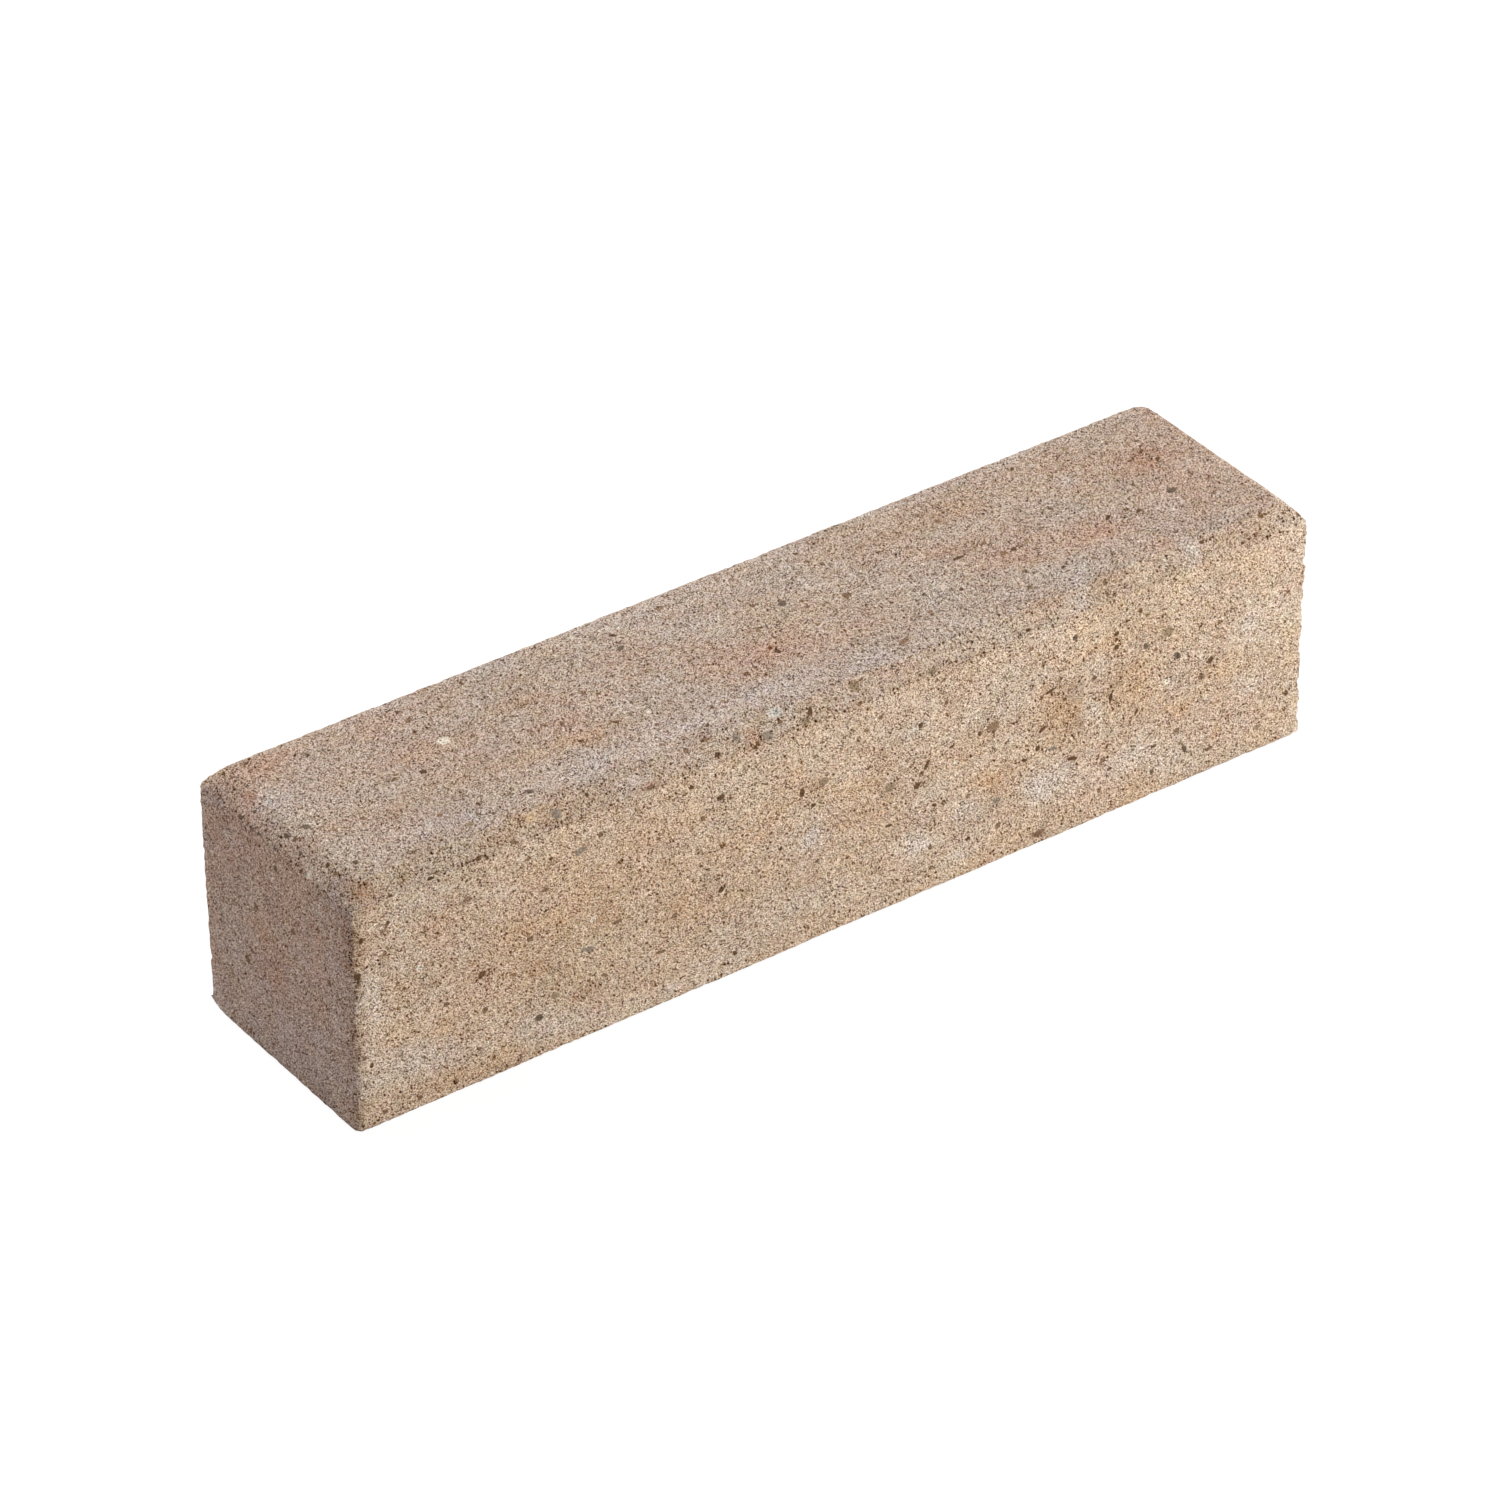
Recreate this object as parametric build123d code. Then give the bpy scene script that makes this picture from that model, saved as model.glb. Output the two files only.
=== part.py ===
from build123d import *
import os

# Driving dimensions of the pressed concrete post, lying on its moulding face, in millimetres
post_length = 500.0      # along X
post_width = 115.0       # along Y
post_height = 120.0      # along Z, the direction of pressing
chamfer_leg = 8.0        # 45 degree chamfer that the press stamp leaves round the top face
corner_radius = 3.0      # rounded upright corners of the mould

ON_THE_FLOOR = (Align.CENTER, Align.CENTER, Align.MIN)


def stamped_block():
    """Block with the stamp's chamfer on the four edges of its top face, mitred at the corners."""
    block = Box(post_length, post_width, post_height, align=ON_THE_FLOOR)
    top_face = block.faces().sort_by(Axis.Z)[-1]
    return chamfer(top_face.edges(), length=chamfer_leg)


def mould_cavity():
    """Upright space inside the mould's walls, with its four corners rounded."""
    plan = RectangleRounded(post_length, post_width, corner_radius)
    return extrude(plan, amount=post_height)


# The post is what the stamp and the mould's walls leave between them
palisade_post = stamped_block() & mould_cavity()

os.makedirs("parts", exist_ok=True)
export_step(palisade_post, "parts/palisade_post.step")
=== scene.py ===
# %% [markdown]
# # A pressed concrete palisade post
#
# The post is one block of sand-coloured concrete. A press stamps stiff, earth-moist mix in a steel mould.
# The stamp leaves a chamfer round the top face, the mould leaves four plain walls, and bare sand shows
# everywhere. So there is one piece to make, and nearly all of its looks are in its skin: lumps and ragged
# arrises in the mesh, sand, specks and stones in the material. The exact block comes from the imported frame,
# and its length, width and height are read from it.

# %% Load the frame
import math

import bpy
import numpy as np
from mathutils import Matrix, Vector


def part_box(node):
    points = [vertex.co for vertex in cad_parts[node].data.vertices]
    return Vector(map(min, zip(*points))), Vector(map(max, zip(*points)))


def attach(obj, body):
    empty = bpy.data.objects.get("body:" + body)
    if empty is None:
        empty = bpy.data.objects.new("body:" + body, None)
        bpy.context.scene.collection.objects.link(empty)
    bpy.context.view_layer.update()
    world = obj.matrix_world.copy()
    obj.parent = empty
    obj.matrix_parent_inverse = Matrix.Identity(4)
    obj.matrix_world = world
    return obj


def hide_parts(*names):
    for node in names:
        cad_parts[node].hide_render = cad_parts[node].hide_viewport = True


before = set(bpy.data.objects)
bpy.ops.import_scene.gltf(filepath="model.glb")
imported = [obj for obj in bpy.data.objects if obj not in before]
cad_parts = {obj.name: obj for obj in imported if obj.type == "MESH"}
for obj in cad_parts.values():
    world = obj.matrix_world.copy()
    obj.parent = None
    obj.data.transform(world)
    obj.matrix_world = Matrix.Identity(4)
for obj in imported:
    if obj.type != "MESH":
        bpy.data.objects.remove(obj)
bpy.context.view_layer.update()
low, high = (np.array(corner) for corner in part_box("palisade_post"))
length, width, height = high - low
print("block of", (high - low).round(4), "m")

# %% [markdown]
# ## Camera
#
# The photograph was taken from far away with a long lens, from the front left and above, so that three
# faces show and their edges hardly converge. A camera could be turned by hand until it fits. Here two
# angles say in plain words where the photographer stood.

# %% Place the camera
AZIMUTH = math.radians(-35.917)
ELEVATION = math.radians(34.565)
LENS_MM = 180.0
SENSOR_MM = 36.0
DISTANCE = 3.208
LEFT_OF_CENTRE = 0.0076
BELOW_CENTRE = 0.0008
FARTHEST_SEEN = 50.0

right = Vector((math.cos(AZIMUTH), math.sin(AZIMUTH), 0.0))
back = Vector((right.y * math.cos(ELEVATION), -right.x * math.cos(ELEVATION), math.sin(ELEVATION)))
up = back.cross(right)
block_centre = Vector((low + high) / 2)
scene = bpy.context.scene
camera = bpy.data.objects.new("camera", bpy.data.cameras.new("camera"))
scene.collection.objects.link(camera)
camera.location = block_centre - right * LEFT_OF_CENTRE - up * BELOW_CENTRE + back * DISTANCE
camera.rotation_euler = back.to_track_quat("Z", "Y").to_euler()
camera.data.lens = LENS_MM
camera.data.sensor_width = SENSOR_MM
camera.data.clip_end = FARTHEST_SEEN
scene.camera = camera
print("camera at", [round(x, 3) for x in camera.location])

# %% [markdown]
# ## Helpers for nodes
#
# The floor, the room and the concrete are trees of nodes joined by links. In the Shader Editor they are
# laid by hand. In a script, short functions that each make one node keep the wiring readable.

# %% Node helpers
def add_node(tree, kind, inputs=None, **settings):
    """New node of a kind, with its settings, and its inputs set to values or linked to sockets."""
    made = tree.nodes.new(kind)
    for name, value in settings.items():
        setattr(made, name, value)
    for name, value in (inputs or {}).items():
        if isinstance(value, bpy.types.NodeSocket):
            tree.links.new(value, made.inputs[name])
        else:
            made.inputs[name].default_value = value
    return made


def math_node(tree, operation, first, second=0.0, third=0.0):
    """Result of a Math node on sockets or numbers."""
    return add_node(tree, "ShaderNodeMath", {0: first, 1: second, 2: third}, operation=operation).outputs[0]


def weighted_sum(tree, terms, start=0.0):
    """Start plus each value times its weight."""
    total = start
    for value, weight in terms:
        total = math_node(tree, "MULTIPLY_ADD", value, weight, total)
    return total


def vector_node(tree, operation, first, second=(0, 0, 0), output=0):
    """Result of a Vector Math node with up to two vectors."""
    made = add_node(tree, "ShaderNodeVectorMath", {0: first, 1: second}, operation=operation)
    return made.outputs[output]


def scaled_vector(tree, vector, factor):
    """Vector times a number."""
    made = add_node(tree, "ShaderNodeVectorMath", {0: vector, "Scale": factor}, operation="SCALE")
    return made.outputs[0]


def ramp(tree, value, start, end):
    """Smooth step of a value from 0 at start to 1 at end."""
    made = add_node(tree, "ShaderNodeMapRange", {"Value": value, "From Min": start, "From Max": end},
                    interpolation_type="SMOOTHSTEP")
    return made.outputs["Result"]


def noise(tree, point, scale, detail, roughness=0.5):
    """Outputs of a Noise texture: a value first, and three such values as a colour."""
    inputs = {"Vector": point, "Scale": scale, "Detail": detail, "Roughness": roughness}
    return add_node(tree, "ShaderNodeTexNoise", inputs).outputs


def centred_noise(tree, point, scale):
    """Three soft noise values about zero, as a vector."""
    return vector_node(tree, "SUBTRACT", noise(tree, point, scale, 1.0)["Color"], (0.5, 0.5, 0.5))


print("helpers ready")

# %% [markdown]
# ## Floor
#
# For the light, the floor is a pale diffuse plane that sends some of it back to the block. A studio would
# make it white with a lamp of its own. Here the Light Path node lifts only what the camera sees of it, and
# a part of the diffuse shading stays mixed in, so that the post keeps its shadow.

# %% Lay the floor
FLOOR_HALF = 6.0
FLOOR_DROP = 0.0002
FLOOR_GREY = 0.8
WHITE_LIFT = 0.93
SHADOW_SHARE = 0.2


def shown_or_lit(tree, shown, lit):
    """One shader where it is seen directly or in a mirror or glass, and another for all other light."""
    path = add_node(tree, "ShaderNodeLightPath").outputs
    seen = math_node(tree, "MAXIMUM", path["Is Camera Ray"], path["Is Glossy Ray"])
    seen = math_node(tree, "MAXIMUM", seen, path["Is Transmission Ray"])
    return add_node(tree, "ShaderNodeMixShader", {0: seen, 1: lit, 2: shown}).outputs[0]


def diffuse_grey(tree, grey):
    """Diffuse shader of one grey."""
    return add_node(tree, "ShaderNodeBsdfDiffuse", {"Color": (grey, grey, grey, 1)}).outputs[0]


def pale_floor_material():
    """Diffuse floor; where it is seen directly, a white glow plus a share of that diffuse shading."""
    material = bpy.data.materials.new("pale_floor")
    material.use_nodes = True
    tree = material.node_tree
    tree.nodes.clear()
    glow = add_node(tree, "ShaderNodeEmission", {"Strength": WHITE_LIFT}).outputs[0]
    shade = diffuse_grey(tree, FLOOR_GREY * SHADOW_SHARE)
    lifted = add_node(tree, "ShaderNodeAddShader", {0: shade, 1: glow}).outputs[0]
    surface = shown_or_lit(tree, lifted, diffuse_grey(tree, FLOOR_GREY))
    add_node(tree, "ShaderNodeOutputMaterial", {"Surface": surface})
    return material


square = ((-1, -1), (1, -1), (1, 1), (-1, 1))
floor_mesh = bpy.data.meshes.new("floor")
corners = [(x * FLOOR_HALF, y * FLOOR_HALF, -FLOOR_DROP) for x, y in square]
floor_mesh.from_pydata(corners, [], [(0, 1, 2, 3)])
floor_mesh.materials.append(pale_floor_material())
floor = bpy.data.objects.new("floor", floor_mesh)
scene.collection.objects.link(floor)
print("floor", 2 * FLOOR_HALF, "m wide")

# %% [markdown]
# ## Light
#
# A stone in a catalogue is lit by big soft boxes, so that no hard shadow hides its grain. An environment
# picture could do that, but two area lamps say more plainly where the light comes from: in front on the
# right, and overhead. The left end gets only what the room and the floor send back.

# %% Light the studio
ROOM_LIGHT = 0.33
WHITE = (1, 1, 1, 1)


def studio_room():
    """Even light from all round, and plain white where the room is seen directly."""
    world = bpy.data.worlds.new("studio")
    world.use_nodes = True
    tree = world.node_tree
    tree.nodes.clear()
    plain = add_node(tree, "ShaderNodeBackground", {"Color": WHITE}).outputs[0]
    fill = add_node(tree, "ShaderNodeBackground", {"Color": WHITE, "Strength": ROOM_LIGHT}).outputs[0]
    add_node(tree, "ShaderNodeOutputWorld", {"Surface": shown_or_lit(tree, plain, fill)})
    return world


def soft_box(name, place, target, size, watts):
    """Square area lamp at a place, facing a target."""
    lamp = bpy.data.lights.new(name, "AREA")
    lamp.size = size
    lamp.energy = watts
    holder = bpy.data.objects.new(name, lamp)
    holder.location = place
    holder.rotation_euler = (Vector(place) - Vector(target)).to_track_quat("Z", "Y").to_euler()
    scene.collection.objects.link(holder)


scene.world = studio_room()
soft_box("front_box", place=(1.4, -1.55, 0.5), target=(0.05, 0, 0.06), size=0.9, watts=31.0)
soft_box("overhead_box", place=(0.1, 1.1, 1.6), target=(0, 0, 0.06), size=1.6, watts=29.0)
scene.view_settings.view_transform = "Standard"
print("lamps", [lamp.name for lamp in bpy.data.lights])

# %% [markdown]
# ## A lattice round the block
#
# The skin needs vertices everywhere, and closer together near the edges, which show in the outline. A
# subdivided cube has the same spacing all over. Here three rows of stations, one along each axis, are
# crossed, and only the crossings on the outside are kept. Faces share them, so the skin is closed without
# merging.

# %% Cross the stations
MM = 0.001
EDGE_ZONE = 12 * MM
EDGE_STEP = 0.85 * MM
FACE_STEP = 1.9 * MM
FOOT_ZONE = 6 * MM


def stations(start, end, start_zone):
    """Positions from start to end: EDGE_STEP apart in the end zones, FACE_STEP apart between them."""
    inner_start, inner_end = start + start_zone, end - EDGE_ZONE
    first = np.linspace(start, inner_start, round(start_zone / EDGE_STEP), endpoint=False)
    face_steps = round((inner_end - inner_start) / FACE_STEP)
    middle = np.linspace(inner_start, inner_end, face_steps, endpoint=False)
    last = np.linspace(inner_end, end, round(EDGE_ZONE / EDGE_STEP) + 1)
    return np.concatenate([first, middle, last])


def box_lattice(xs, ys, zs):
    """Outside crossings of three rows of stations, and the four-sided faces between them, facing outwards.
    A crossing lies outside if any of its three indices is the first or the last."""
    counts = (len(xs), len(ys), len(zs))
    outside = np.ones(counts, bool)
    outside[1:-1, 1:-1, 1:-1] = False
    number = np.cumsum(outside.ravel()).reshape(counts) - 1
    i, j, k = np.nonzero(outside)
    points = np.stack([xs[i], ys[j], zs[k]], axis=1)

    def sheet(grid, order):
        corners = np.stack([grid[:-1, :-1], grid[1:, :-1], grid[1:, 1:], grid[:-1, 1:]], axis=-1)
        return corners.reshape(-1, 4)[:, ::order]

    faces = [sheet(number[:, :, -1], 1), sheet(number[:, :, 0], -1),
             sheet(number[:, 0, :], 1), sheet(number[:, -1, :], -1),
             sheet(number[-1, :, :], 1), sheet(number[0, :, :], -1)]
    return points, np.concatenate(faces)


lattice, quads = box_lattice(*map(stations, low, high, (EDGE_ZONE, EDGE_ZONE, FOOT_ZONE)))
print(len(lattice), "points,", 2 * len(quads), "triangles")

# %% [markdown]
# ## The pressed shape
#
# The block is what lies below eighteen planes: walls, bottom, top, chamfers, and planes that blunt the
# upright corners and the corners of the stamped face. A cube with a Bevel modifier would be near, but all
# its arrises would be alike. Here the far chamfer is smaller and the near left corner more worn.

# %% Name the planes
CHAMFER = 8 * MM
FAR_CHAMFER = 6.5 * MM
CORNER_BLUNTING = 0.4 * MM
NEAR_LEFT_BLUNTING = 1.6 * MM
TOP_CORNER_CUT = 1.7 * MM
SLANT = math.sqrt(1 / 2)
HIP_SLANT = math.sqrt(1 / 6)
SIGNS = (1, -1)
half_length, half_width = length / 2, width / 2


def block_planes():
    """Outward normals and offsets of the planes. A chamfer's normal is (0, 1, 1) or (1, 0, 1), an upright
    corner's (1, 1, 0) and a top corner's (1, 1, 2), each made one long."""
    planes = [((s, 0, 0), half_length) for s in SIGNS] + [((0, s, 0), half_width) for s in SIGNS]
    planes += [((0, 0, 1), height), ((0, 0, -1), 0.0)]
    planes += [((s * SLANT, 0, SLANT), (half_length + height - CHAMFER) * SLANT) for s in SIGNS]
    for t, leg in ((1, FAR_CHAMFER), (-1, CHAMFER)):
        planes.append(((0, t * SLANT, SLANT), (half_width + height - leg) * SLANT))
        for s in SIGNS:
            near_left = s == -1 and t == -1
            blunting = NEAR_LEFT_BLUNTING if near_left else CORNER_BLUNTING
            planes.append(((s * SLANT, t * SLANT, 0), (half_length + half_width) * SLANT - blunting))
            hip = (half_length - CHAMFER + half_width - leg + 2 * height) * HIP_SLANT
            planes.append(((s * HIP_SLANT, t * HIP_SLANT, 2 * HIP_SLANT), hip - TOP_CORNER_CUT))
    normals, offsets = zip(*planes)
    return np.array(normals), np.array(offsets)


plane_normals, plane_offsets = block_planes()
print(len(plane_offsets), "planes")

# %% [markdown]
# A point's signed distance to the block is the greatest of its distances to the planes. A softened
# greatest, the logarithm of a sum of exponentials, gives the same block with worn, rounded arrises, and
# never reaches outside the sharp one. Each lattice point is moved against the slope of that distance until
# it lies on the skin, as in Newton's method.

# %% Pull the lattice onto the block
ARRIS_TOP = 0.5 * MM
ARRIS_FOOT = 0.3 * MM
FOOT_HEIGHT = 8 * MM
NEWTON_ROUNDS = 8


def smooth_step(x, start, end):
    """0 before start, 1 after end, and the smooth curve 3t^2 - 2t^3 between them."""
    t = np.clip((x - start) / (end - start), 0, 1)
    return t * t * (3 - 2 * t)


def soft_block(points):
    """Softened distance of each point to the block and the outward direction there."""
    softness = (ARRIS_FOOT + (ARRIS_TOP - ARRIS_FOOT) * smooth_step(points[:, 2], 0, FOOT_HEIGHT))[:, None]
    distances = points @ plane_normals.T - plane_offsets
    greatest = distances.max(axis=1, keepdims=True)
    weights = np.exp((distances - greatest) / softness)
    total = weights.sum(axis=1, keepdims=True)
    soft = greatest + softness * np.log(total)
    return soft[:, 0], (weights / total) @ plane_normals


def pull_to_skin(points):
    """Newton steps: minus the distance, along the slope, divided by the slope's squared length."""
    for _ in range(NEWTON_ROUNDS):
        distance, slope = soft_block(points)
        points = points - slope * (distance / (slope ** 2).sum(axis=1))[:, None]
    return points


smooth_skin = pull_to_skin(lattice)
_, outward = soft_block(smooth_skin)
outward /= np.linalg.norm(outward, axis=1, keepdims=True)
print("skin from", smooth_skin.min(axis=0).round(4), "to", smooth_skin.max(axis=0).round(4))

# %% [markdown]
# ## Random fields for the skin
#
# Concrete is uneven at every scale: the mix settles in soft lumps, and the mould drags at it. A Displace
# modifier with noise textures could do that. A field worked out with numpy can also be mixed with masks of
# the block's own edges and faces, and is the same in every run because its seeds are fixed.

# %% Noise in whole arrays
TABLE_SHAPE = np.array((256, 64, 64))
OCTAVE_SHARE = 0.55


def value_noise(points, cell_mm, seed):
    """Field from -1 to 1: random numbers at the crossings of a cubic grid of this cell size, blended
    between the eight crossings round each point with the smooth curve 3t^2 - 2t^3."""
    table = np.random.default_rng(seed).uniform(-1, 1, TABLE_SHAPE)
    scaled = points / (cell_mm * MM)
    base = np.floor(scaled).astype(int)
    t = scaled - base
    t = t * t * (3 - 2 * t)
    total = np.zeros(len(points))
    for corner in np.ndindex(2, 2, 2):
        share = np.where(corner, t, 1 - t).prod(axis=1)
        i, j, k = ((base + corner) % TABLE_SHAPE).T
        total += share * table[i, j, k]
    return total


def cloud_noise(points, cell_mm, seed, octaves):
    """Sum of value noises, each with half the cell size and OCTAVE_SHARE of the strength of the last."""
    strengths = OCTAVE_SHARE ** np.arange(octaves)
    layers = [s * value_noise(points, cell_mm / 2 ** n, seed + n) for n, s in enumerate(strengths)]
    return sum(layers) / strengths.sum()


def soft_spot(points, centre, half_sizes):
    """Bell-shaped weight exp(-d^2), where d is the distance from the centre measured in half sizes."""
    offset = (points - np.array(centre)) / np.array(half_sizes)
    return np.exp(-(offset ** 2).sum(axis=1))


print("noise ready, tables of", TABLE_SHAPE.prod(), "numbers")

# %% [markdown]
# ## Where the skin is worn
#
# A sculptor would mask a region before roughening it. The masks here are numbers from 0 to 1 for each
# point, most of them read from the direction that the skin faces. Others mark a stretch of the front that
# was dry when it was stamped, the worn upright edges, the far rims, and a seam under the chamfers, where
# the stamp's rim met the mould.

# %% Mask the faces and edges
EDGE_REACH = 2.2 * MM
SEAM_HALF = 1.0 * MM
FOOT_SHARE = 0.35
RIGHT_END_SHARE = 0.5
RIGHT_EDGE_SHARE = 0.8
DRY_CENTRE = (118 * MM, low[1], 66 * MM)
DRY_HALF = (58 * MM, 9 * MM, 34 * MM)
UPRIGHT_HALF = (6 * MM, 6 * MM, height)
CRUST_STRETCH = np.array((1, 1, 1.5))


def edge_nearness(points, reach):
    """1 on an edge, falling off as exp(-gap / reach), where the second nearest plane is a gap behind."""
    distances = np.sort(points @ plane_normals.T - plane_offsets, axis=1)
    return np.exp(-(distances[:, -1] - distances[:, -2]) / reach)


along, across, above = smooth_skin.T
facing_end = np.abs(outward[:, 0])
facing_up = np.clip(outward[:, 2], 0, 1)
on_chamfer = smooth_step(facing_up, 0.3, 0.6) * (1 - smooth_step(facing_up, 0.82, 0.97))
on_end_chamfer = on_chamfer * smooth_step(facing_end, 0.4, 0.6)
on_top = smooth_step(facing_up, 0.85, 0.98)
on_front = smooth_step(-outward[:, 1], 0.8, 0.98)
# The ends get the darker, rosier end colour, which is partly painted shade: all of it on the shaded left end,
# half on the right.
on_end_with_left_shade = smooth_step(facing_end, 0.45, 0.9) * np.where(outward[:, 0] < 0, 1, RIGHT_END_SHARE)
near_edge = edge_nearness(smooth_skin, EDGE_REACH)
above_foot = FOOT_SHARE + (1 - FOOT_SHARE) * smooth_step(above, 2 * MM, 9 * MM)
dry_front = soft_spot(smooth_skin, DRY_CENTRE, DRY_HALF)
near_edges = [(x, low[1], height / 2) for x in (low[0], high[0])]
left_edge, right_edge = (soft_spot(smooth_skin, middle, UPRIGHT_HALF) for middle in near_edges)
worn_upright = left_edge + RIGHT_EDGE_SHARE * right_edge
far_rim = np.maximum(smooth_step(across, 42 * MM, 48 * MM), smooth_step(along, 238 * MM, 244 * MM))
seam_line = np.exp(-((above - (height - CHAMFER)) / SEAM_HALF) ** 2)
tears = cloud_noise(smooth_skin, cell_mm=16, seed=41, octaves=3)
torn_seam = seam_line * smooth_step(tears, -0.15, 0.3)
crust = cloud_noise(smooth_skin / CRUST_STRETCH, cell_mm=7, seed=131, octaves=3)
hollows = dry_front * smooth_step(crust, 0.0, 0.45)
print("share of points near an edge", (near_edge > 0.5).mean().round(3))

# %% [markdown]
# ## Relief in the mesh
#
# The relief is measured inwards from the smooth block, so that nothing stands outside its box: lumps
# everywhere, sandy, chipped and dented arrises, hollows in the dry stretch and the torn seam. At the far
# left foot a corner is chipped and the edge above it leans in. A sculpting brush could do all that, but a
# depth in millimetres times a noise and a mask can be read and changed.

# %% Work out the relief
SKIN_DEPTH, BROAD_DEPTH, SMALL_DEPTH, FINE_DEPTH = 0.13, 0.16, 0.16, 0.10
SAND_DEPTH, CHIP_DEPTH, DENT_DEPTH = 0.6, 0.9, 0.9
HOLLOW_DEPTH, SEAM_DEPTH = 1.2, 0.35
FOOT_CHIP_DEPTH, LEAN_DEPTH = 0.8, 1.7
FOOT_CORNER = (low[0], high[1], low[2])
FOOT_CHIP_HALF = (4 * MM, 4 * MM, 3 * MM)
LEAN_HALF = (7 * MM, 7 * MM, height)

broad = cloud_noise(smooth_skin, cell_mm=30, seed=11, octaves=2)
small = cloud_noise(smooth_skin, cell_mm=6, seed=21, octaves=2)
fine = value_noise(smooth_skin, cell_mm=2.3, seed=31)
sandy = np.abs(value_noise(smooth_skin, cell_mm=1.5, seed=35))
chips = smooth_step(cloud_noise(smooth_skin, cell_mm=6, seed=51, octaves=2), 0.15, 0.6)
dents = far_rim * np.abs(value_noise(smooth_skin, cell_mm=2.6, seed=37))

unevenness = 1 + 2.6 * dry_front + 0.4 * on_chamfer + 0.4 * on_end_chamfer + 0.8 * worn_upright
lumps = BROAD_DEPTH * broad + unevenness * (SKIN_DEPTH + SMALL_DEPTH * small + FINE_DEPTH * fine)
wear_along_edges = near_edge * above_foot * (1 + worn_upright)
arrises = wear_along_edges * (SAND_DEPTH * sandy + CHIP_DEPTH * chips + DENT_DEPTH * dents)
foot_chip = FOOT_CHIP_DEPTH * soft_spot(smooth_skin, FOOT_CORNER, FOOT_CHIP_HALF)
lean = LEAN_DEPTH * (1 - above / height) * soft_spot(smooth_skin, FOOT_CORNER, LEAN_HALF)
relief_mm = lumps + arrises + HOLLOW_DEPTH * hollows + SEAM_DEPTH * torn_seam + foot_chip + lean
relief = np.clip(relief_mm, 0, None) * MM
skin = smooth_skin - outward * relief[:, None]
print("relief up to", (relief.max() / MM).round(2), "mm, mean", (relief.mean() / MM).round(2))

# %% [markdown]
# ## Stains
#
# No two hand-widths of the block have the same colour: lime blooms grey-white, iron turns rusty, and the
# stamped face is pinker than the walls. Vertex paint could do that with a soft brush. Here each dab is one
# row, laid where the real block shows it. Colours are written as a screen shows them, from 0 to 255,
# and a stain's colour is what it adds to the ground.

# %% Lay out the stains
WALL_TAN = np.array((180.0, 150.6, 121.4))
STAMPED_PINK = np.array((163.0, 137.0, 115.0))
# The ends' colour is their own rosier tone plus painted shade: darker than the walls, and fullest on the
# shaded left end.
END_ROSE_AND_SHADE = np.array((170.6, 138.8, 118.4))
END_CHAMFER_LIFT = np.array((2.0, 1.5, 3.5))
STAINS = {"lime": (13, 23, 35), "bloom": (8, 14, 21), "rust": (0, -14, -17),
          "ochre": (2, -11, -25), "umber": (-16, -18, -19), "cream": (11, 11, 9)}

# Front wall: along the post, up, half length, half height (mm) and strength
FRONT_STAINS = {
    "cream": [(0, 106, 270, 4, 0.3), (170, 105, 90, 5, 0.35), (30, 4, 240, 17, 0.55)],
    "bloom": [(-240, 56, 7, 24, 0.9), (-222, 78, 12, 6, 0.5), (-208, 22, 36, 11, 0.75),
        (-150, 14, 16, 8, 0.7), (-95, 8, 40, 6, 0.8), (-40, 24, 26, 8, 0.35), (120, 97, 5, 3, 0.7),
        (17, 17, 5, 4, 0.8), (36, 87, 9, 2.5, 1), (40, 48, 7, 4, 0.6)],
    "lime": [(-187, 49, 4, 3, 0.4), (-19, 53, 5, 4, 0.9), (36, 27, 10, 6, 1), (62, 35, 8, 6, 0.85),
        (62, 15, 10, 5, 0.4), (106, 29, 13, 9, 1), (154, 24, 22, 9, 0.75), (178, 18, 16, 9, 0.35),
        (132, 57, 6, 5, 1), (218, 68, 6, 6, 0.55), (219, 36, 6, 5, 0.7), (195, 39, 4, 3, 0.5),
        (87, 80, 7, 4, 0.45), (5, 78, 8, 3, 0.5), (135, 80, 5, 7, 0.4)],
    "ochre": [(115, 66, 9, 9, 0.55), (152, 66, 13, 9, 0.5), (123, 61, 3, 5, 0.8), (77, 46, 11, 6, 0.75),
        (181, 41, 13, 4, 0.6), (206, 52, 14, 6, 0.5), (140, 91, 24, 5, 0.5), (-206, 35, 5, 4, 0.7),
        (-28, 88, 4, 4, 0.8), (-190, 8, 40, 5, 0.4), (-75, 40, 30, 9, 0.3), (-135, 62, 80, 34, 0.3),
        (202, 18, 4, 3, 0.7), (8, 68, 14, 5, 0.5)],
    "umber": [(150, 64, 15, 10, 0.35), (116, 64, 9, 9, 0.45), (-150, 48, 26, 12, 0.3),
        (-125, 66, 30, 14, 0.2), (103, 5, 9, 3, 1), (-155, 48, 9, 8, 0.8), (-187, 55, 5, 4, 0.8),
        (-90, 49, 7, 7, 1), (-66, 47, 5, 5, 0.9), (-20, 79, 9, 4, 1), (-213, 64, 4, 6, 0.8),
        (-193, 97, 5, 3, 0.7), (-137, 96, 6, 4, 0.6), (-120, 55, 5, 4, 0.7), (-63, 94, 6, 3, 0.6),
        (22, 63, 5, 4, 0.8), (38, 59, 5, 4, 0.9), (37, 87, 5, 3, 0.6), (75, 73, 6, 5, 0.9),
        (107, 80, 4, 5, 0.8), (105, 62, 5, 6, 0.9), (121, 39, 5, 3, 0.8), (178, 69, 5, 4, 0.7),
        (196, 59, 4, 4, 0.8), (183, 17, 3, 5, 0.6), (-133, 26, 8, 4, 0.8)],
    "rust": [(-208, 86, 8, 9, 0.5), (-195, 52, 14, 12, 0.35)],
}
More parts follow.
